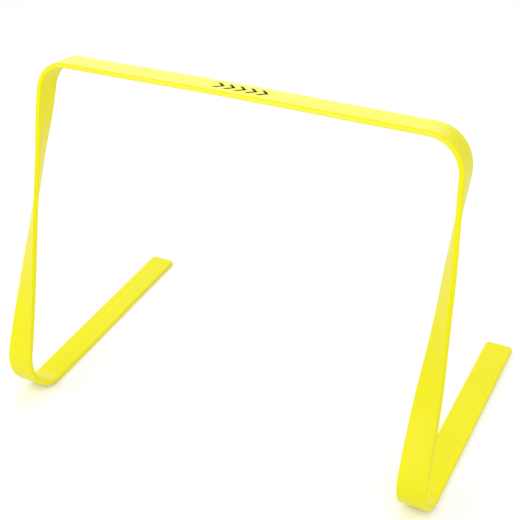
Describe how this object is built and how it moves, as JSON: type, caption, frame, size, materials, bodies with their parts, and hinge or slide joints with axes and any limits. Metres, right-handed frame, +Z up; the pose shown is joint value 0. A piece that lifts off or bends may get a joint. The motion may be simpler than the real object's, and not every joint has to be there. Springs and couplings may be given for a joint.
{
  "type": "agility hurdle",
  "caption": "Low training hurdle bent from one flat flexible plastic strip, with a level bar, twisted legs that lean back and flat feet that rest on the floor.",
  "frame": {"origin": "on the floor, under the middle of the hurdle's box", "axes": "+X along the bar towards the side on the right of someone who faces +Y, +Y the way the feet point from the floor bends, +Z up"},
  "size_m": [0.5223, 0.3185, 0.3835],
  "materials": {
    "strip": "satin",
    "print": "matte"
  },
  "bodies": {
    "bar": {"top_bar": "strip", "left_corner_bend": "strip", "right_corner_bend": "strip", "printed_mark": "print"},
    "left_leg": {"left_leg": "strip"},
    "right_leg": {"right_leg": "strip"},
    "left_foot": {"left_floor_bend": "strip", "left_foot": "strip"},
    "right_foot": {"right_floor_bend": "strip", "right_foot": "strip"}
  },
  "joints": [
    {"name": "left_corner_flex", "type": "hinge", "parent": "bar", "child": "left_leg", "pos_m": [-0.23711, -0.01162, 0.36699], "axis": [0, 0.9056, -0.4242], "range_deg": [-20, 25], "stiffness_Nm_per_rad": 10.4, "deforming": ["left_corner_bend"]},
    {"name": "left_foot_flex", "type": "hinge", "parent": "left_leg", "child": "left_foot", "pos_m": [-0.24394, -0.1429, 0.02783], "axis": [-0.9998, 0.0087, -0.0163], "range_deg": [-30, 30], "stiffness_Nm_per_rad": 5.5, "springref_deg": 1.09, "deforming": ["left_floor_bend"]},
    {"name": "right_corner_flex", "type": "hinge", "parent": "bar", "child": "right_leg", "pos_m": [0.21773, -0.01233, 0.36419], "axis": [0, -0.9212, 0.3891], "range_deg": [-20, 25], "stiffness_Nm_per_rad": 8.2, "deforming": ["right_corner_bend"]},
    {"name": "right_foot_flex", "type": "hinge", "parent": "right_leg", "child": "right_foot", "pos_m": [0.23877, -0.13448, 0.02307], "axis": [-0.9994, 0.0192, -0.0273], "range_deg": [-30, 30], "stiffness_Nm_per_rad": 6.7, "springref_deg": 0.84, "deforming": ["right_floor_bend"]}
  ]
}
